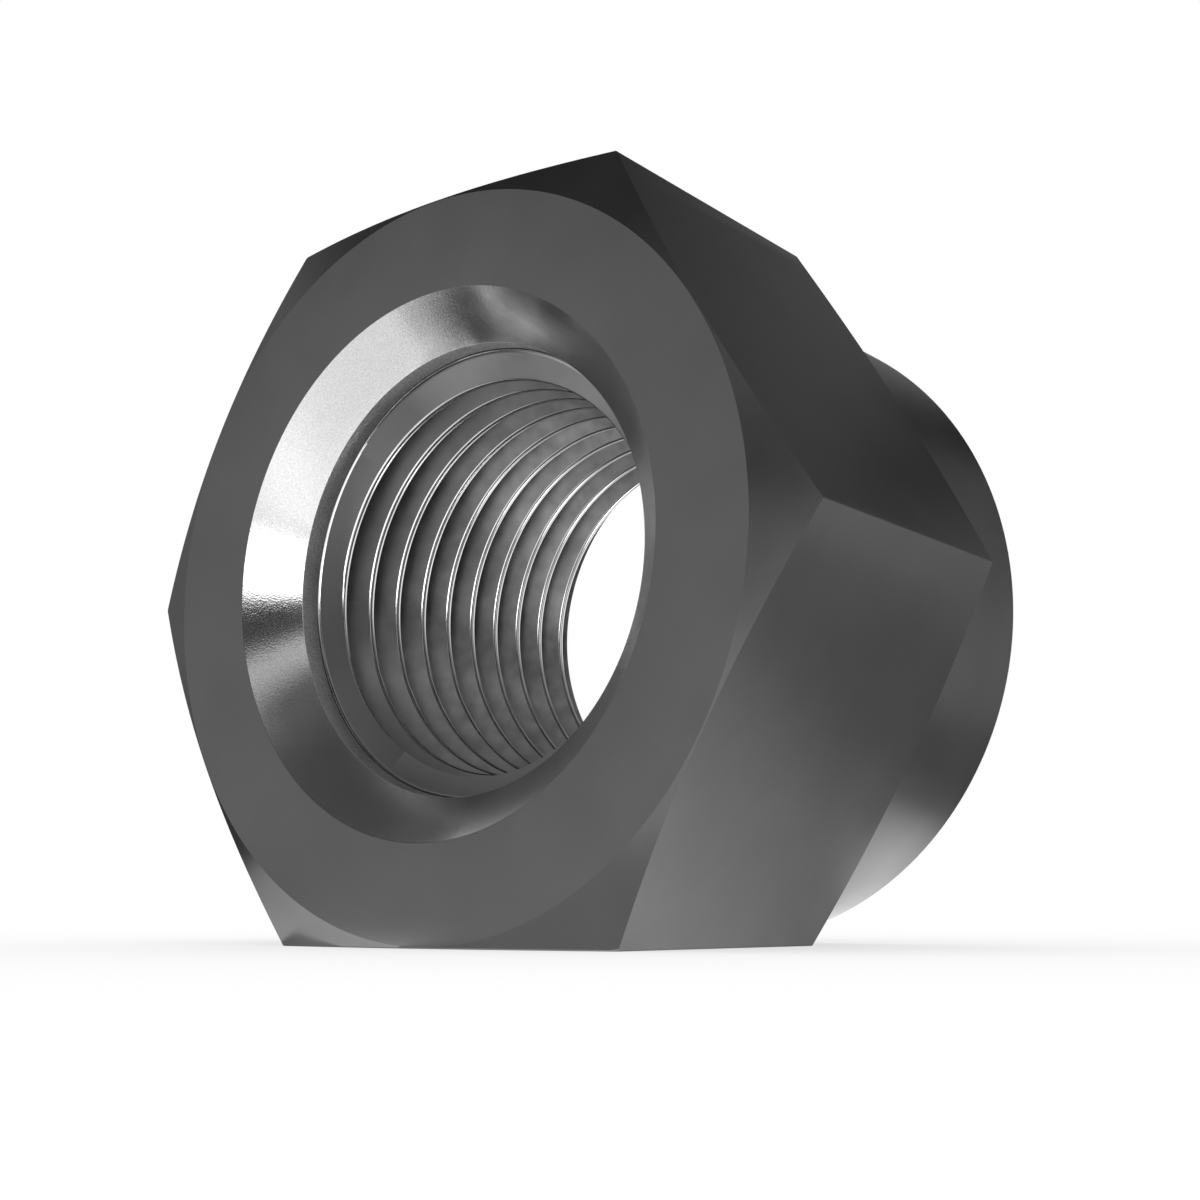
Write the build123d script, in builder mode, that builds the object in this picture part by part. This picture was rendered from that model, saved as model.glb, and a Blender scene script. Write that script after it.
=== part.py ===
# Hex lock nut for an M16 x 1.5 thread, one solid piece of steel.
# It lies on one flat of its hexagon. The thread axis runs along Y: the hexagon faces the front (-Y) and
# the round collar is at the back (+Y). The origin is on the surface that it lies on, under its middle.

from build123d import *
import math
import os

# Hexagon, sizes in mm
across_flats = 27.0
hex_height = 13.5
face_diameter = 26.9          # round face that turning leaves on each end of the hexagon
chamfer_angle = 21.0          # degrees between that face and the cone round it

# Collar
collar_diameter = 26.9
collar_height = 5.8
collar_edge_break = 0.15

# Hole, front to back
front_mouth_diameter = 19.9   # countersink, at the face of the hexagon
relief_diameter = 16.6        # plain band just wider than the thread
relief_length = 0.85
shoulder_angle = 22.0         # degrees between the end of the relief and a flat shoulder
minor_diameter = 14.65        # wall left between the thread's grooves
rear_mouth_diameter = 19.2    # countersink, at the end of the collar
mouth_angle = 90.0            # full angle of both countersinks

# Heights along the axis, from the face of the hexagon towards the back
total_height = hex_height + collar_height
axis_height = across_flats / 2
face_y = -total_height / 2
hex_back_y = face_y + hex_height


def section_point(radius, depth):
    """A point of a turned section: distance from the axis, and depth behind the face of the hexagon."""
    return (face_y + depth, axis_height + radius)


def cone_depth(radius_change, degrees_from_flat):
    """How far along the axis a cone runs while its radius changes this much."""
    return abs(radius_change) * math.tan(math.radians(degrees_from_flat))


nut_axis = Axis((0, 0, axis_height), (0, 1, 0))
hex_plane = Plane(origin=(0, face_y, axis_height), x_dir=(1, 0, 0), z_dir=(0, 1, 0))
collar_plane = Plane(origin=(0, hex_back_y, axis_height), x_dir=(1, 0, 0), z_dir=(0, 1, 0))
corner_radius = across_flats / math.sqrt(3)

# Turned outline of the hexagon: a cone off the corners at each end
face_radius = face_diameter / 2
blank_radius = corner_radius + 1.0
corner_drop = cone_depth(blank_radius - face_radius, chamfer_angle)
turned_outline = [
    section_point(0, 0),
    section_point(face_radius, 0),
    section_point(blank_radius, corner_drop),
    section_point(blank_radius, hex_height - corner_drop),
    section_point(face_radius, hex_height),
    section_point(0, hex_height),
]

# Section of the hole, run past both ends so that it cuts cleanly
overrun = 1.0
mouth_slope = 90 - mouth_angle / 2
front_mouth_radius = front_mouth_diameter / 2
relief_radius = relief_diameter / 2
minor_radius = minor_diameter / 2
rear_mouth_radius = rear_mouth_diameter / 2
relief_start = cone_depth(front_mouth_radius - relief_radius, mouth_slope)
relief_end = relief_start + relief_length
thread_start = relief_end + cone_depth(relief_radius - minor_radius, shoulder_angle)
thread_end = total_height - cone_depth(rear_mouth_radius - minor_radius, mouth_slope)
mouth_flare = overrun / math.tan(math.radians(mouth_slope))
hole_section = [
    section_point(0, -overrun),
    section_point(front_mouth_radius + mouth_flare, -overrun),
    section_point(relief_radius, relief_start),
    section_point(relief_radius, relief_end),
    section_point(minor_radius, thread_start),
    section_point(minor_radius, thread_end),
    section_point(rear_mouth_radius + mouth_flare, total_height + overrun),
    section_point(0, total_height + overrun),
]

with BuildPart() as hex_lock_nut:
    # Hexagon bar, with a flat down and two corners level with the axis
    with BuildSketch(hex_plane):
        RegularPolygon(radius=across_flats / 2, side_count=6, major_radius=False)
    extrude(amount=hex_height)
    # Both ends chamfered by turning, which leaves an arc at the end of each flat
    with BuildSketch(Plane.YZ):
        with BuildLine():
            Polyline(*turned_outline, close=True)
        make_face()
    revolve(axis=nut_axis, mode=Mode.INTERSECT)
    # Plain round collar behind the hexagon
    with BuildSketch(collar_plane):
        Circle(collar_diameter / 2)
    extrude(amount=collar_height)
    collar_rim = hex_lock_nut.edges().filter_by(GeomType.CIRCLE).sort_by(Axis.Y)[-1]
    chamfer(collar_rim, length=collar_edge_break)
    # Hole right through
    with BuildSketch(Plane.YZ):
        with BuildLine():
            Polyline(*hole_section, close=True)
        make_face()
    revolve(axis=nut_axis, mode=Mode.SUBTRACT)

hex_lock_nut.part.label = "hex_lock_nut"

os.makedirs("parts", exist_ok=True)
export_step(hex_lock_nut.part, "parts/hex_lock_nut.step")

print("length", round(total_height, 3), "across corners", round(2 * corner_radius, 3))
print("thread wall from", round(face_y + thread_start, 3), "to", round(face_y + thread_end, 3), "along Y")
print("volume", round(hex_lock_nut.part.volume, 1), "mm3")
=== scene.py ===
import math
import bpy
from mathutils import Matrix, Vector


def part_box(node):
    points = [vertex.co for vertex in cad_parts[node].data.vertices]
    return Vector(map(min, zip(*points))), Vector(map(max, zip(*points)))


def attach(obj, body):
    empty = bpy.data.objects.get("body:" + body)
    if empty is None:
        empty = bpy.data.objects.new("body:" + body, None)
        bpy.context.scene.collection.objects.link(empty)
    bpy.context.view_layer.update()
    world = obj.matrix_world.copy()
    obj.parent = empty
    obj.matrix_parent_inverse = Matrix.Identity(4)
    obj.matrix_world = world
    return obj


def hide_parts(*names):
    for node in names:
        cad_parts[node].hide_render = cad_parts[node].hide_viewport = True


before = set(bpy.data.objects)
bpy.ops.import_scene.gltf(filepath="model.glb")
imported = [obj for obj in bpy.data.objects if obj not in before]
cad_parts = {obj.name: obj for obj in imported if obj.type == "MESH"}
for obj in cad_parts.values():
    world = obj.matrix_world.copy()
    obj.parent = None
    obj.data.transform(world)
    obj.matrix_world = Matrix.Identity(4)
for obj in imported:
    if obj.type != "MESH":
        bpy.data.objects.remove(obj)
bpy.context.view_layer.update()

# Hex lock nut, turned from hexagon bar, with its real thread. The shapes are drawn in millimetres,
# in the frame of the CAD part (thread axis along Y, hexagon at the front), and end in metres.
nodeLow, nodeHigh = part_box("hex_lock_nut")
millimetre = 0.001
faceY = nodeLow[1] / millimetre
endY = nodeHigh[1] / millimetre
axisZ = (nodeLow[2] + nodeHigh[2]) / 2 / millimetre

# tolerances in mm
outlineWeld = 0.001       # joins the two ends of an outline
meshWeld = 0.0005         # joins the seam and the poles of a wound shape
cornerReach = 0.004       # finds a corner of an outline again


def leaveEdit():
    active = bpy.context.object
    if active and active.mode != 'OBJECT':
        bpy.ops.object.mode_set(mode='OBJECT')


def clearSelection():
    leaveEdit()
    bpy.ops.object.select_all(action='DESELECT')


def makeActive(piece):
    clearSelection()
    piece.select_set(True)
    bpy.context.view_layer.objects.active = piece


# camera
cameraSetup = {
    "lens": 50.0,
    "sensor": 36.0,
    "place": (40.185, -51.459, 1.189),  # mm, low and close, a little to the right
    "turn": (100.645, 0.0, 37.838),     # degrees
    "clip": (0.001, 50.0),              # m
}


def addCamera(setup):
    clearSelection()
    bpy.ops.object.camera_add(
        location=[v * millimetre for v in setup["place"]],
        rotation=[math.radians(v) for v in setup["turn"]],
    )
    camera = bpy.context.object
    camera.name = "productCamera"
    camera.data.lens = setup["lens"]
    camera.data.sensor_width = setup["sensor"]
    camera.data.clip_start, camera.data.clip_end = setup["clip"]
    bpy.context.scene.camera = camera


addCamera(cameraSetup)
print("camera placed")

# nut body: one lathe section, spun, then cut to the hexagon bar
nutBody = {
    "acrossFlats": 27.0,
    "hexLength": 13.5,
    "faceRadius": 13.45,      # round face that turning leaves on the hexagon
    "coneAngle": 21.0,        # degrees between the face and the cone round it
    "collarRadius": 13.45,
    "rimBreak": 0.15,
    "mouthRadius": 9.95,      # front countersink, at the face
    "reliefRadius": 8.3,
    "reliefLength": 0.85,
    "shoulderAngle": 22.0,
    "rearMouthRadius": 9.6,
    "firstCrestRadius": 7.325,
    "boreRadius": 7.0,        # left narrow, the thread opens it to its own crest
    "narrowing": 1.6,         # length over which the first crest narrows to that bore
    "spare": 1.0,             # how far the blank and the hexagon bar run past the nut
    # roundings, as size and segments
    "ridgeRound": (0.05, 3),
    "edgeRound": (0.015, 3),
    "reliefRound": (0.1, 5),
    "firstCrestRound": (0.06, 4),
    "spinSteps": 200,
    "smoothAngle": 19.0,      # degrees, sharper edges stay crisp
}


def rise(change, degrees):
    return abs(change) * math.tan(math.radians(degrees))


def traceOutline(name, outline):
    # one point walked round the outline, given as (depth behind the face, radius)
    clearSelection()
    points = [Vector((0, faceY + depth, radius)) for depth, radius in outline]
    bpy.ops.mesh.primitive_plane_add(size=0.1, location=points[0])
    piece = bpy.context.object
    piece.name = name
    bpy.ops.object.transform_apply(location=True, rotation=False, scale=False)
    bpy.ops.object.mode_set(mode='EDIT')
    bpy.ops.mesh.select_mode(type='VERT')
    bpy.ops.mesh.select_all(action='SELECT')
    bpy.ops.mesh.merge(type='CENTER')
    for here, there in zip(points, points[1:]):
        bpy.ops.mesh.extrude_region_move(TRANSFORM_OT_translate={"value": there - here})
    return piece


def selectVertices(piece, wanted):
    bpy.ops.object.mode_set(mode='EDIT')
    bpy.ops.mesh.select_mode(type='VERT')
    bpy.ops.mesh.select_all(action='DESELECT')
    bpy.ops.object.mode_set(mode='OBJECT')
    for vertex in piece.data.vertices:
        vertex.select = wanted(vertex.co)
    bpy.ops.object.mode_set(mode='EDIT')


def roundCorners(piece, corners, width, segments):
    places = [Vector((0, faceY + depth, radius)) for depth, radius in corners]
    selectVertices(piece, lambda co: min((co - p).length for p in places) < cornerReach)
    bpy.ops.mesh.bevel(offset=width, segments=segments, affect='VERTICES', profile=0.5)


def lathe(piece, steps):
    makeActive(piece)
    bpy.ops.object.mode_set(mode='EDIT')
    bpy.ops.mesh.select_all(action='SELECT')
    bpy.ops.mesh.remove_doubles(threshold=outlineWeld)
    bpy.ops.mesh.select_all(action='SELECT')
    bpy.ops.mesh.spin(steps=steps, angle=2 * math.pi, center=(0, 0, 0), axis=(0, 1, 0))
    bpy.ops.mesh.select_all(action='SELECT')
    bpy.ops.mesh.remove_doubles(threshold=meshWeld)
    bpy.ops.mesh.normals_make_consistent(inside=False)
    leaveEdit()


def cutWith(piece, tool, operation):
    makeActive(piece)
    cut = piece.modifiers.new(operation.lower(), 'BOOLEAN')
    cut.operation = operation
    cut.solver = 'EXACT'
    cut.object = tool
    bpy.ops.object.modifier_apply(modifier=cut.name)
    bpy.data.objects.remove(tool)


def turnBlank(size):
    length = endY - faceY
    blankRadius = size["acrossFlats"] / math.sqrt(3) + size["spare"]
    drop = rise(blankRadius - size["faceRadius"], size["coneAngle"])
    reliefStart = size["mouthRadius"] - size["reliefRadius"]
    reliefEnd = reliefStart + size["reliefLength"]
    firstCrest = size["firstCrestRadius"]
    shoulderEnd = reliefEnd + rise(size["reliefRadius"] - firstCrest, size["shoulderAngle"])
    rearStart = length - (size["rearMouthRadius"] - size["boreRadius"])
    rim = size["rimBreak"]
    mouth = (0, size["mouthRadius"])
    reliefFront = (reliefStart, size["reliefRadius"])
    reliefBack = (reliefEnd, size["reliefRadius"])
    rearMouth = (length, size["rearMouthRadius"])
    outline = [
        mouth,
        (0, size["faceRadius"]),
        (drop, blankRadius),
        (size["hexLength"] - drop, blankRadius),
        (size["hexLength"], size["collarRadius"]),
        (length - rim, size["collarRadius"]),
        (length, size["collarRadius"] - rim),
        rearMouth,
        (rearStart, size["boreRadius"]),
        (shoulderEnd + size["narrowing"], size["boreRadius"]),
        (shoulderEnd, firstCrest),
        reliefBack,
        reliefFront,
        mouth,
    ]
    piece = traceOutline("lockNutBody", outline)
    bpy.ops.mesh.select_all(action='SELECT')
    bpy.ops.mesh.remove_doubles(threshold=outlineWeld)
    roundCorners(piece, [mouth, rearMouth, reliefFront], *size["edgeRound"])
    roundCorners(piece, [reliefBack], *size["reliefRound"])
    roundCorners(piece, [(shoulderEnd, firstCrest)], *size["firstCrestRound"])
    lathe(piece, size["spinSteps"])
    return piece


def hexagonBar(size):
    clearSelection()
    length = endY - faceY + 2 * size["spare"]
    bpy.ops.mesh.primitive_cylinder_add(
        vertices=6,
        radius=size["acrossFlats"] / math.sqrt(3),
        depth=length,
        rotation=(math.pi / 2, math.pi / 6, 0),  # a flat down, two corners level with the axis
    )
    bar = bpy.context.object
    bpy.ops.object.transform_apply(location=True, rotation=True, scale=False)
    bpy.ops.object.mode_set(mode='EDIT')
    bpy.ops.mesh.select_mode(type='EDGE')
    bpy.ops.mesh.select_all(action='DESELECT')
    bpy.ops.object.mode_set(mode='OBJECT')
    for edge in bar.data.edges:
        a, b = (bar.data.vertices[i].co for i in edge.vertices)
        edge.select = abs(a.y - b.y) > length / 2
    bpy.ops.object.mode_set(mode='EDIT')
    width, segments = size["ridgeRound"]
    bpy.ops.mesh.bevel(offset=width, segments=segments, affect='EDGES')
    leaveEdit()
    return bar


nut = turnBlank(nutBody)
cutWith(nut, hexagonBar(nutBody), 'INTERSECT')
print("body turned and cut to the hexagon:", len(nut.data.polygons), "faces")

# thread: right-hand, one pitch of its section wound through the nut, then cut from it
thread = {
    "pitch": 1.5,
    "crestRadius": nutBody["firstCrestRadius"],
    "rootRadius": 8.28,
    "crestFlat": 0.22,
    "flankAngle": 30.0,
    "crestBand": 0.10,        # strip along the rear edge of each crest, leaning back by this angle
    "crestBandLean": 8.0,
    "crestFrontRound": (0.065, 4),
    "crestRearRound": (0.03, 3),
    "rootRound": (0.06, 4),
    "groovePlace": 4.11,      # depth of the first full groove, at the top of the hole
    "turnsBefore": 4,         # whole turns that the tool starts ahead of that groove
    "windings": 17,
    "steps": 128,             # per turn
    "ends": (-0.7, 20.1),     # depths at which the wound tool is cut off, outside the nut
}


def windThread(size):
    pitch = size["pitch"]
    crest = size["crestRadius"]
    root = size["rootRadius"]
    half = size["crestFlat"] / 2
    flank = rise(root - crest, size["flankAngle"])
    # the tool's section runs from the middle of one crest to the middle of the next
    start = size["groovePlace"] - 0.5 * pitch - size["turnsBefore"] * pitch
    lean = size["crestBand"] * math.tan(math.radians(size["crestBandLean"]))
    corners = [
        (start + half, crest + lean),
        (start + half + flank, root),
        (start + pitch - half - flank, root),
        (start + pitch - half, crest),
    ]
    crestMiddle = [(start, crest), (start + half - size["crestBand"], crest)]
    tool = traceOutline("threadTool", crestMiddle + corners + [(start + pitch, crest)])
    roundCorners(tool, [corners[3]], *size["crestFrontRound"])
    roundCorners(tool, [corners[0]], *size["crestRearRound"])
    roundCorners(tool, [corners[1], corners[2]], *size["rootRound"])
    makeActive(tool)
    helix = tool.modifiers.new("helix", 'SCREW')
    helix.axis = 'Y'
    helix.screw_offset = pitch
    helix.steps = size["steps"]
    helix.render_steps = size["steps"]
    helix.iterations = size["windings"]
    helix.use_merge_vertices = True
    helix.merge_threshold = meshWeld
    bpy.ops.object.modifier_apply(modifier=helix.name)
    bpy.ops.object.mode_set(mode='EDIT')
    bpy.ops.mesh.select_all(action='SELECT')
    bpy.ops.mesh.remove_doubles(threshold=meshWeld)
    for depth, way in zip(size["ends"], (-1, 1)):
        bpy.ops.mesh.select_all(action='SELECT')
        bpy.ops.mesh.bisect(
            plane_co=(0, faceY + depth, 0),
            plane_no=(0, way, 0),
            use_fill=True,
            clear_outer=True,
        )
    bpy.ops.mesh.select_all(action='SELECT')
    bpy.ops.mesh.normals_make_consistent(inside=False)
    leaveEdit()
    return tool


cutWith(nut, windThread(thread), 'DIFFERENCE')
print("thread cut:", len(nut.data.polygons), "faces")

# to its place and to metres
makeActive(nut)
bpy.ops.object.mode_set(mode='EDIT')
bpy.ops.mesh.select_all(action='SELECT')
bpy.ops.transform.translate(value=(0, 0, axisZ))
leaveEdit()
nut.scale = (millimetre,) * 3
bpy.ops.object.transform_apply(location=True, rotation=True, scale=True)
bpy.ops.object.shade_smooth_by_angle(angle=math.radians(nutBody["smoothAngle"]))


# finishes
def newFinish(name):
    material = bpy.data.materials.new(name)
    material.use_nodes = True
    tree = material.node_tree
    shader = next(n for n in tree.nodes if n.type == 'BSDF_PRINCIPLED')
    return material, tree, shader


def addNode(tree, kind, **values):
    node = tree.nodes.new(kind)
    for name, value in values.items():
        if hasattr(node, name):
            setattr(node, name, value)
        else:
            node.inputs[name].default_value = value
    return node


def grey(level):
    return (level, level, level, 1)


def nutCoordinates(tree):
    # object coordinates moved so that the thread axis is their Y axis
    place = addNode(tree, "ShaderNodeTexCoord")
    centre = addNode(tree, "ShaderNodeMapping")
    centre.inputs["Location"].default_value = (0, 0, -axisZ * millimetre)
    tree.links.new(place.outputs["Object"], centre.inputs["Vector"])
    return centre.outputs["Vector"]


def addNoise(tree, coordinates, scale, detail=3.0):
    noise = addNode(tree, "ShaderNodeTexNoise", Scale=scale, Detail=detail)
    tree.links.new(coordinates, noise.inputs["Vector"])
    return noise.outputs["Fac"]


def addRange(tree, source, low, high, fromLow=0.3, fromHigh=0.7):
    # stretches one span of values to another, unless told otherwise the span that noise fills
    span = addNode(tree, "ShaderNodeMapRange")
    ends = {"From Min": fromLow, "From Max": fromHigh, "To Min": low, "To Max": high}
    for name, value in ends.items():
        span.inputs[name].default_value = value
    tree.links.new(source, span.inputs["Value"])
    return span.outputs["Result"]


def feed(tree, sockets, values):
    # each value is a number, a colour or the output of another node
    for socket, value in zip(sockets, values):
        if isinstance(value, (int, float, tuple)):
            socket.default_value = value
        else:
            tree.links.new(value, socket)


def addMath(tree, operation, *values):
    node = addNode(tree, "ShaderNodeMath", operation=operation)
    feed(tree, node.inputs, values)
    return node.outputs[0]


def addMix(tree, share, first, second):
    mix = addNode(tree, "ShaderNodeMix", data_type='RGBA')
    tree.links.new(share, mix.inputs["Factor"])
    feed(tree, [s for s in mix.inputs if s.type == 'RGBA'], (first, second))
    return next(s for s in mix.outputs if s.type == 'RGBA')


def addBump(tree, height, distance, under=None):
    bump = addNode(tree, "ShaderNodeBump", Strength=1.0, Distance=distance)
    tree.links.new(height, bump.inputs["Height"])
    if under is not None:
        tree.links.new(under, bump.inputs["Normal"])
    return bump.outputs["Normal"]


def turnedRings(tree, coordinates, spacing):
    # fine lathe marks: rings on a face or cone, hoops on a cylinder, all a little uneven
    wanderScale, wanderShare = 900.0, 0.8
    split = addNode(tree, "ShaderNodeSeparateXYZ")
    tree.links.new(coordinates, split.inputs[0])
    across = addMath(tree, 'MULTIPLY', split.outputs["X"], split.outputs["X"])
    up = addMath(tree, 'MULTIPLY', split.outputs["Z"], split.outputs["Z"])
    radius = addMath(tree, 'SQRT', addMath(tree, 'ADD', across, up))
    along = addMath(tree, 'ADD', radius, split.outputs["Y"])
    noise = addNoise(tree, coordinates, wanderScale)
    wander = addMath(tree, 'MULTIPLY', noise, spacing * wanderShare)
    place = addMath(tree, 'ADD', along, wander)
    phase = addMath(tree, 'MULTIPLY', place, 2 * math.pi / spacing)
    return addMath(tree, 'SINE', phase)


def deeper(tree, coordinates, start, full):
    # 0 at one depth behind the face of the hexagon, 1 at another, in mm
    split = addNode(tree, "ShaderNodeSeparateXYZ")
    tree.links.new(coordinates, split.inputs[0])
    ends = [(faceY + depth) * millimetre for depth in (start, full)]
    return addRange(tree, split.outputs["Y"], 0.0, 1.0, *ends)


def scaled(tree, colour, factor):
    times = addNode(tree, "ShaderNodeVectorMath", operation='SCALE')
    tree.links.new(colour, times.inputs[0])
    tree.links.new(factor, times.inputs["Scale"])
    return times.outputs["Vector"]


def paintLightAlong(tree, coordinates, colour, way, start, full, share):
    # painted light and shade in place of reflections: leaves the colour as it is up to one
    # distance along a direction, and multiplies it by the share from another, both in mm from the
    # middle of the nut
    reach = addNode(tree, "ShaderNodeVectorMath", operation='DOT_PRODUCT')
    tree.links.new(coordinates, reach.inputs[0])
    reach.inputs[1].default_value = way
    ends = start * millimetre, full * millimetre
    return scaled(tree, colour, addRange(tree, reach.outputs["Value"], 1.0, share, *ends))


def steelFinish(name, finish):
    material, tree, shader = newFinish(name)
    coordinates = nutCoordinates(tree)
    shader.inputs["Metallic"].default_value = finish["metal"]
    shader.inputs["Specular Tint"].default_value = grey(finish["edgeTint"])
    if "drawnOut" in finish:
        # the tool's rings draw each reflection out across them, away from the axis
        shader.inputs["Anisotropic"].default_value = finish["drawnOut"]
        outward = addNode(tree, "ShaderNodeVectorMath", operation='MULTIPLY')
        tree.links.new(coordinates, outward.inputs[0])
        outward.inputs[1].default_value = (1, 0, 1)
        tree.links.new(outward.outputs["Vector"], shader.inputs["Tangent"])
    patchScale, patchDetail = finish["patches"]
    patches = addNoise(tree, coordinates, patchScale, patchDetail)
    share = addRange(tree, patches, 0.0, 1.0)
    if "patchesFrom" in finish:
        share = addMath(tree, 'MULTIPLY', share, deeper(tree, coordinates, *finish["patchesFrom"]))
    colour = addMix(tree, share, *(grey(tone) for tone in finish["tones"]))
    # painted highlights and painted shade, multiplied into the colour in place of reflections
    for change in finish.get("paintedLight", ()):
        colour = paintLightAlong(tree, coordinates, colour, *change)
    if "speckle" in finish:
        speckScale, depth = finish["speckle"]
        specks = addNoise(tree, coordinates, speckScale, detail=1.0)
        colour = scaled(tree, colour, addRange(tree, specks, 1 - depth, 1 + depth))
    tree.links.new(colour, shader.inputs["Base Color"])
    tree.links.new(addRange(tree, patches, *finish["roughness"]), shader.inputs["Roughness"])
    grainScale, grainHeight = finish["grain"]
    normal = addBump(tree, addNoise(tree, coordinates, grainScale, detail=2.0), grainHeight)
    if "rings" in finish:
        ringSpacing, ringHeight = finish["rings"]
        rings = turnedRings(tree, coordinates, ringSpacing)
        normal = addBump(tree, rings, ringHeight, under=normal)
    tree.links.new(normal, shader.inputs["Normal"])
    return material


finishes = {
    # tones and roughness each run between two values over soft patches
    # patches: noise scale and detail; patchesFrom: depths in mm where they begin and are full
    # grain: noise scale and height in m; rings: spacing and height in m
    # speckle: noise scale and share of the tone
    # paintedLight: painted highlights and shade in place of reflections, each a direction, where
    # the change begins and is full along it in mm, and its share
    "turnedOxide": {
        "metal": 1.0, "edgeTint": 0.35,
        "tones": (0.118, 0.130), "roughness": (0.28, 0.31),
        "patches": (320.0, 4.0), "grain": (9000.0, 2.0e-7), "rings": (0.00016, 1.2e-7),
    },
    "drawnOxide": {
        "metal": 1.0, "edgeTint": 0.35,
        "tones": (0.118, 0.130), "roughness": (0.28, 0.30),
        "patches": (260.0, 4.0), "grain": (8000.0, 2.0e-7),
    },
    "shoulderOxidePaintedLight": {
        "metal": 1.0, "edgeTint": 0.35,
        "tones": (0.118, 0.130), "roughness": (0.28, 0.31),
        "patches": (320.0, 4.0), "grain": (9000.0, 2.0e-7), "rings": (0.00016, 1.2e-7),
        # painted light: up to 2.9 times brighter towards the upper right and 1.42 times towards
        # the bottom
        "paintedLight": [
            ((0.77, 0, 0.64), 1.5, 6.0, 2.9),
            ((0, 0, -1), 2.8, 6.2, 1.42),
        ],
    },
    "leadInSteel": {
        "metal": 0.85, "edgeTint": 0.5,
        "tones": (0.122, 0.128), "roughness": (0.285, 0.31),
        "patches": (1400.0, 1.5), "grain": (24000.0, 1.0e-6),
        # painted light: up to 2.9 times brighter towards the upper right and 2.2 times towards the
        # bottom
        "paintedLight": [
            ((0.77, 0, 0.64), 1.5, 6.0, 2.9),
            ((0, 0, -1), 0.0, 3.0, 2.2),
        ],
    },
    "boredSteel": {
        "metal": 0.985, "edgeTint": 0.8, "drawnOut": 0.88,
        "tones": (0.67, 0.70), "roughness": (0.17, 0.19),
        "patches": (500.0, 4.0), "grain": (16000.0, 3.2e-6), "rings": (0.00012, 1.5e-7),
        "speckle": (15000.0, 0.10),
        # painted shade: darkened to between 0.4 and 0.68 of its tone in four zones, in place of
        # darker reflections
        "paintedLight": [
            ((0.64, 0, 0.77), 8.7, 9.6, 0.4),
            ((0.17, 2, 0.98), -8.7, -8.0, 0.5),
            ((0.77, 0.88, 0.64), 0.35, 0.9, 0.55),
            ((-0.375, 0.85, -0.927), -0.15, 1.0, 0.68),
        ],
    },
    "reliefSteel": {
        "metal": 0.90, "edgeTint": 0.8,
        "tones": (0.50, 0.62), "roughness": (0.30, 0.36),
        "patches": (500.0, 4.0), "grain": (14000.0, 6.0e-6),
        "speckle": (15000.0, 0.25),
        # painted highlight: 1.6 times brighter towards the top
        "paintedLight": [((0, 0, 1), 7.0, 8.0, 1.6)],
    },
    "threadSteel": {
        "metal": 0.64, "edgeTint": 0.6,
        "tones": (0.112, 0.165), "roughness": (0.285, 0.33),
        # the lighter patches begin 2.6 mm in and are full at 9 mm: random mottling, and also a
        # painted lightening of the deeper thread in place of reflected light
        "patches": (1400.0, 1.5), "patchesFrom": (2.6, 9.0), "grain": (24000.0, 3.0e-6),
        # painted light and shade: brighter towards the bottom, the right and the upper left,
        # darker towards the left
        "paintedLight": [
            ((0, 0, -1), 0.0, 3.0, 2.2),
            ((0.87, 0, 0.5), 0.8, 4.0, 2.0),
            ((-0.5, 0.35, 0.87), 6.4, 7.8, 1.9),
            ((-0.94, 0, 0.34), 7.1, 7.7, 0.65),
        ],
    },
    # painted light: the rear flanks are much lighter than the front ones, so that their reflection
    # in the front flanks lightens the grooves
    "rearFlankSteel": {
        "metal": 0.75, "edgeTint": 0.7,
        "tones": (0.42, 0.52), "roughness": (0.28, 0.36),
        "patches": (900.0, 4.0), "grain": (24000.0, 3.0e-6),
    },
    "crestSteel": {
        "metal": 1.0, "edgeTint": 1.0,
        "tones": (0.80, 0.90), "roughness": (0.14, 0.20),
        "patches": (900.0, 4.0), "grain": (9000.0, 4.0e-7),
        # painted shade: darker towards the bottom, to 0.3, and towards the top right, to 0.45
        "paintedLight": [
            ((0, 0, -1), 0.3, 1.8, 0.3),
            ((0.5, 0, 0.87), 2.2, 5.5, 0.45),
        ],
    },
}

finishOrder = list(finishes)
for finishName in finishOrder:
    nut.data.materials.append(steelFinish(finishName, finishes[finishName]))

# where the finishes meet, in mm: depths behind the face of the hexagon, and radii
limits = {
    "reliefEdgeDepth": 2.35,
    "shoulderDepths": (2.48, 3.1),
    "threadDepth": 2.51,
    "backHalfDepth": 10.0,
    "crestRadius": 7.42,
    "shoulderRadii": (7.3, 8.4),
    "holeRadius": 8.32,           # thread and relief
    "mouthRadius": 9.93,
    "flatRadius": 13.47,
    "firstFlank": (7.9, 3.285),   # radius and depth of its middle, level with the axis at +X
    "flankReach": 0.15,
}
# how a face leans: the part of its normal along the axis, and a reach where it has to be near that
leans = {
    "barFlat": 0.01,
    "roundedEdge": 0.12,
    "rearFlank": 0.1,
    "frontFlank": -0.8,
    "shoulder": (math.cos(math.radians(nutBody["shoulderAngle"])), 0.004),
    "rearMouth": (math.cos(math.radians(45)), 0.02),
    "inward": -0.05,              # this one across the axis, times the radius
}


def near(value, middle, reach):
    return abs(value - middle) < reach


def onFirstFlank(x, z, radius, depth):
    # the thread's first flank, followed once round the hole
    turn = math.degrees(math.atan2(z, x))
    middleRadius, middleDepth = limits["firstFlank"]
    slope = math.tan(math.radians(thread["flankAngle"]))
    windDepth = depth + thread["pitch"] * turn / 360 + (radius - middleRadius) * slope
    return near(windDepth, middleDepth, limits["flankReach"])


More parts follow.
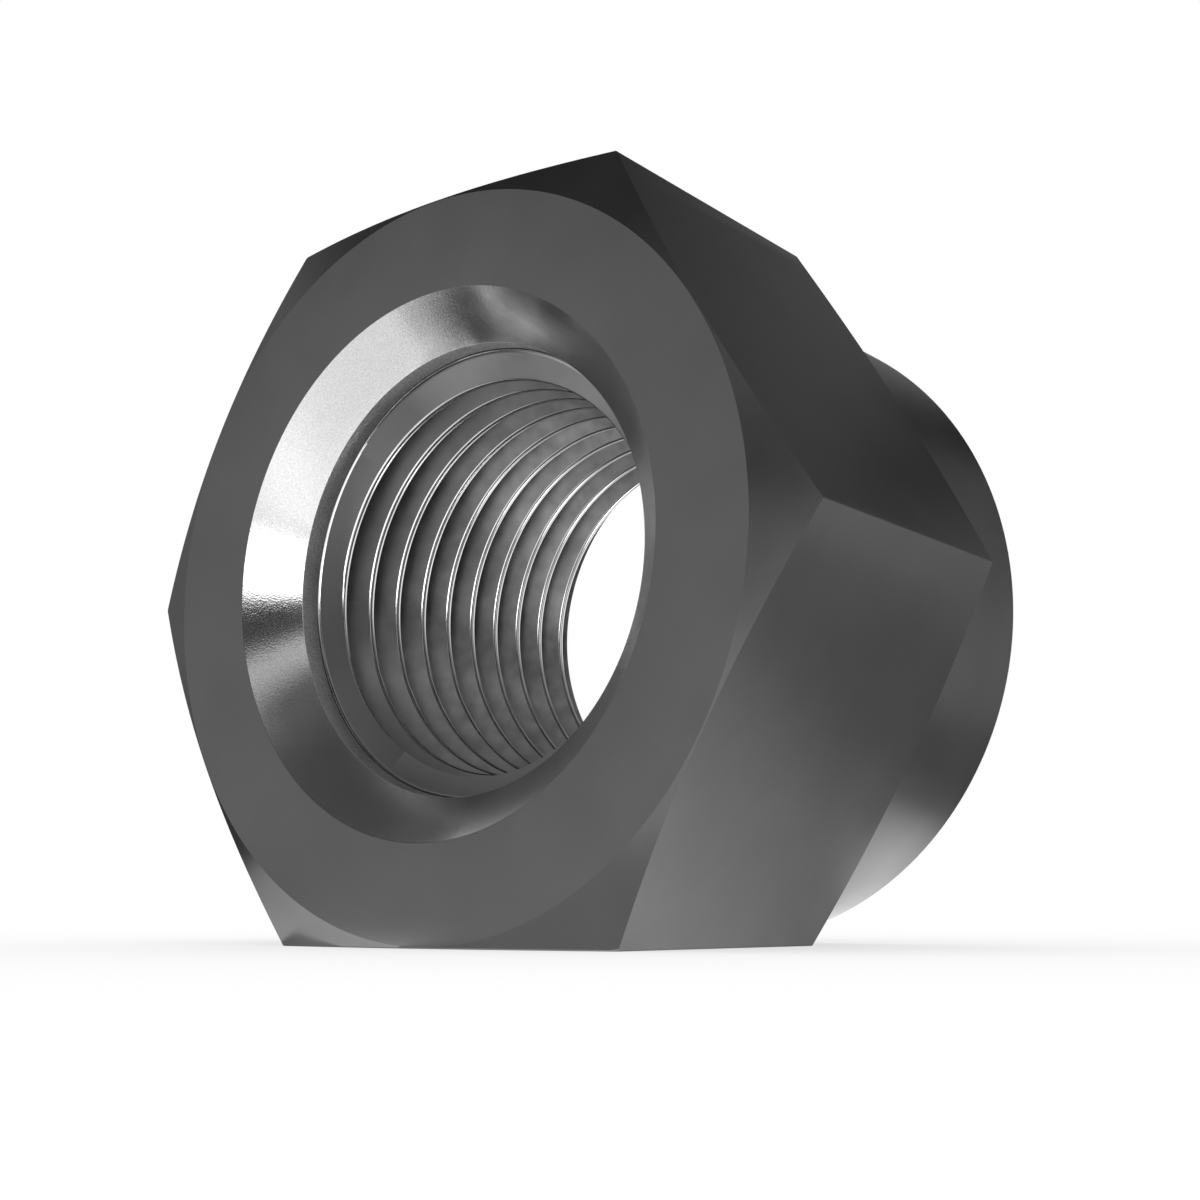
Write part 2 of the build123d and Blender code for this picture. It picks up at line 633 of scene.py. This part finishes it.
def finishFor(face):
    x, y, z = (v / millimetre for v in face.center)
    z -= axisZ
    radius = math.hypot(x, z)
    depth = y - faceY
    along = face.normal.y
    inward = face.normal.x * x + face.normal.z * z < leans["inward"]
    shoulderStart, shoulderEnd = limits["shoulderDepths"]
    innerRadius, outerRadius = limits["shoulderRadii"]
    # the shoulder and the thread's first flank take copies of the finishes that carry painted
    # light
    if innerRadius < radius < outerRadius:
        if shoulderStart < depth < shoulderEnd and near(abs(along), *leans["shoulder"]):
            return "shoulderOxidePaintedLight"
        if along < leans["frontFlank"] and onFirstFlank(x, z, radius, depth):
            return "leadInSteel"
    if depth > limits["backHalfDepth"] and inward and near(along, *leans["rearMouth"]):
        return "boredSteel"
    if depth > limits["threadDepth"]:
        if radius < limits["crestRadius"] and abs(along) > leans["roundedEdge"]:
            return "crestSteel"
        if radius < limits["holeRadius"]:
            return "rearFlankSteel" if along > leans["rearFlank"] else "threadSteel"
    if inward and radius < limits["holeRadius"]:
        edge = depth > limits["reliefEdgeDepth"] and abs(along) > leans["roundedEdge"]
        return "crestSteel" if edge else "reliefSteel"
    if inward and radius < limits["mouthRadius"]:
        return "boredSteel"
    if abs(along) < leans["barFlat"] and radius > limits["flatRadius"]:
        return "drawnOxide"
    return "turnedOxide"


for face in nut.data.polygons:
    face.material_index = finishOrder.index(finishFor(face))
print("finishes set")

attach(nut, "root")
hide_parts("hex_lock_nut")

# studio: pale floor, white backdrop opposite the camera, darker room in front of it and above
studio = {
    "floorSize": 6.0,
    "floorTone": 0.90,
    "floorRoughness": 0.9,
    "floorGlow": 0.60,        # share of its own white, the rest is lit and keeps the shadow
    # brighter places of the floor, seen only in reflections: x and y of the middle, how far out
    # each is at its full level and where it ends, in mm, and the level that it adds
    "pools": [
        (8, -7, 0, 19, 2.2),
        (9, 4, 0, 10, 1.2),
        (4, 13.8, 0, 9.8, 16.0),
        (20, -50, 16, 34, 0.7),
    ],
    "fillLevel": 1.1,
    "backdropAzimuth": -142.0,
    "backdropEdge": (0.45, 0.78),     # cosine of the angle from its middle: none of it, all of it
    # brightness by elevation in degrees
    "backdropLevels": [(-90, 1.0), (38, 1.0), (45, 0.18), (90, 0.08)],
    "roomLevels": [
        (-90, 1.0), (0, 1.0), (10, 0.88), (22, 0.70), (35, 0.56),
        (43, 0.17), (56, 0.09), (74, 0.07), (90, 0.14),
    ],
    "matHeight": 0.01,        # mm above the floor, each mat lies a step higher than the last
    "matStep": 0.005,
}


def towards(azimuth, elevation):
    # azimuth 0 is towards the front (-Y), 90 towards +X; degrees
    a, e = math.radians(azimuth), math.radians(elevation)
    return Vector((math.sin(a) * math.cos(e), -math.cos(a) * math.cos(e), math.sin(e)))


def addRamp(tree, source, stops):
    ramp = addNode(tree, "ShaderNodeValToRGB")
    elements = ramp.color_ramp.elements
    while len(elements) < len(stops):
        elements.new(0.5)
    for element, (place, level) in zip(elements, stops):
        element.position = place
        element.color = grey(level)
    tree.links.new(source, ramp.inputs["Fac"])
    return ramp.outputs["Color"]


def elevationStops(stops):
    # a place on the ramp is half the sine of the elevation plus a half: 0 below, 1 above
    return [((math.sin(math.radians(e)) + 1) / 2, level) for e, level in stops]


def seenRays(tree):
    # camera, glossy and transmission rays together: what shows the white surroundings
    path = addNode(tree, "ShaderNodeLightPath")
    seen = addMath(tree, 'MAXIMUM', path.outputs["Is Camera Ray"], path.outputs["Is Glossy Ray"])
    return addMath(tree, 'MAXIMUM', seen, path.outputs["Is Transmission Ray"])


def buildWorld(setup):
    world = bpy.data.worlds.new("studioRoom")
    bpy.context.scene.world = world
    world.use_nodes = True
    tree = world.node_tree
    background = next(n for n in tree.nodes if n.type == 'BACKGROUND')
    direction = addNode(tree, "ShaderNodeTexCoord").outputs["Generated"]
    split = addNode(tree, "ShaderNodeSeparateXYZ")
    tree.links.new(direction, split.inputs[0])
    height = addMath(tree, 'MULTIPLY_ADD', split.outputs["Z"], 0.5, 0.5)
    room = addRamp(tree, height, elevationStops(setup["roomLevels"]))
    backdrop = addRamp(tree, height, elevationStops(setup["backdropLevels"]))
    nearness = addNode(tree, "ShaderNodeVectorMath", operation='DOT_PRODUCT')
    tree.links.new(direction, nearness.inputs[0])
    nearness.inputs[1].default_value = towards(setup["backdropAzimuth"], 0)
    share = addRange(tree, nearness.outputs["Value"], 0.0, 1.0, *setup["backdropEdge"])
    surroundings = addMix(tree, share, room, backdrop)
    seen = addMix(tree, seenRays(tree), grey(setup["fillLevel"]), surroundings)
    tree.links.new(seen, background.inputs["Color"])


def buildFloor(setup):
    clearSelection()
    bpy.ops.mesh.primitive_plane_add(size=setup["floorSize"])
    floor = bpy.context.object
    floor.name = "studioFloor"
    material, tree, shader = newFinish("paleFloor")
    shader.inputs["Base Color"].default_value = grey(setup["floorTone"])
    shader.inputs["Roughness"].default_value = setup["floorRoughness"]
    shader.inputs["Specular IOR Level"].default_value = 0.0
    glow = addNode(tree, "ShaderNodeEmission", Color=grey(1))
    place = addNode(tree, "ShaderNodeTexCoord").outputs["Object"]
    pool = None
    for x, y, full, end, level in setup["pools"]:
        distance = addNode(tree, "ShaderNodeVectorMath", operation='DISTANCE')
        tree.links.new(place, distance.inputs[0])
        distance.inputs[1].default_value = (x * millimetre, y * millimetre, 0)
        ends = full * millimetre, end * millimetre
        extra = addRange(tree, distance.outputs["Value"], level, 0.0, *ends)
        pool = extra if pool is None else addMath(tree, 'MAXIMUM', pool, extra)
    mirrored = addNode(tree, "ShaderNodeLightPath").outputs["Is Glossy Ray"]
    pool = addMath(tree, 'MULTIPLY', mirrored, pool)
    tree.links.new(addMath(tree, 'ADD', pool, 1.0), glow.inputs["Strength"])
    mix = addNode(tree, "ShaderNodeMixShader")
    tree.links.new(addMath(tree, 'MULTIPLY', seenRays(tree), setup["floorGlow"]), mix.inputs[0])
    tree.links.new(shader.outputs[0], mix.inputs[1])
    tree.links.new(glow.outputs[0], mix.inputs[2])
    output = next(n for n in tree.nodes if n.type == 'OUTPUT_MATERIAL')
    tree.links.new(mix.outputs[0], output.inputs["Surface"])
    floor.data.materials.append(material)


# softboxes: azimuth, elevation of the middle, distance, width and height in mm, brightness
lamps = {
    "frontBox": (43, 3.1, 140, 92, 42, 2.6),
}
# cards, seen only in reflections: azimuth, elevation, distance, width and height in mm, brightness
cards = {
    "frontCard": (31, 19, 140, 150, 38, 0.02),
    "upperCard": (32, 45, 140, 70, 26, 0.08),
    "lowCard": (12, 4, 141, 40, 24, 0.30),
    "leftGlow": (-91, 20, 140, 50, 90, 1.4),
    "ridgeCard": (-161, 28, 140, 44, 26, 0.45),
    "backCard": (178, 29, 140, 42, 18, 0.02),
}
# mats, the same but lying on the floor: x and y of the middle, turn, length and width, brightness
mats = {
    "farLeftMat": (-90.6, -3.3, -70, 39, 130, 0.05),    # these five fan out to the left
    "leftMat": (-44.8, -14.3, -52, 19, 70, 0.22),
    "darkMat": (-31, -23.9, -36, 11.6, 31, 0.04),
    "greyStrip": (-23.8, -27.5, -31, 3.3, 24, 0.20),
    "paleStrip": (-19.9, -28.6, -27, 3.5, 24, 0.48),
    "cornerMat": (-11.5, -11.8, 3, 21, 4, 2.3),         # these three lie at the foot of the nut
    "footMat": (-12.2, -9.5, 0, 8, 1.3, 2.6),
    "nearMat": (9, -12.8, 0, 20, 7.8, 0.8),
    "rightMat": (25, 24, 35, 22, 40, 0.6),
}
nutMiddle = Vector((0, 0, axisZ * millimetre))


def placeAround(piece, azimuth, elevation, distance):
    way = towards(azimuth, elevation)
    piece.location = nutMiddle + way * distance * millimetre
    piece.rotation_euler = way.to_track_quat('Z', 'Y').to_euler()


def addLamp(name, azimuth, elevation, distance, width, height, level):
    clearSelection()
    bpy.ops.object.light_add(type='AREA')
    lamp = bpy.context.object
    lamp.name = name
    lamp.data.shape = 'RECTANGLE'
    lamp.data.size = width * millimetre
    lamp.data.size_y = height * millimetre
    lamp.data.energy = level * math.pi * lamp.data.size * lamp.data.size_y
    placeAround(lamp, azimuth, elevation, distance)
    lamp.visible_camera = False


def addCard(name, width, height, level):
    clearSelection()
    bpy.ops.mesh.primitive_plane_add(size=1)
    card = bpy.context.object
    card.name = name
    card.scale = (width * millimetre, height * millimetre, 1)
    card.visible_camera = False
    card.visible_diffuse = False
    card.visible_shadow = False
    material, tree, shader = newFinish(name)
    shader.inputs["Base Color"].default_value = grey(0)
    shader.inputs["Specular IOR Level"].default_value = 0.0
    shader.inputs["Emission Color"].default_value = grey(level)
    shader.inputs["Emission Strength"].default_value = 1.0
    card.data.materials.append(material)
    return card


buildWorld(studio)
buildFloor(studio)
for lampName, lampPlace in lamps.items():
    addLamp(lampName, *lampPlace)
for cardName, (azimuth, elevation, distance, *sheet) in cards.items():
    placeAround(addCard(cardName, *sheet), azimuth, elevation, distance)
for layer, (matName, (x, y, turn, *sheet)) in enumerate(mats.items()):
    mat = addCard(matName, *sheet)
    lift = studio["matHeight"] + studio["matStep"] * layer
    mat.location = (x * millimetre, y * millimetre, lift * millimetre)
    mat.rotation_euler = (0, 0, math.radians(turn))

bpy.context.scene.view_settings.view_transform = 'Standard'
print("studio lit")
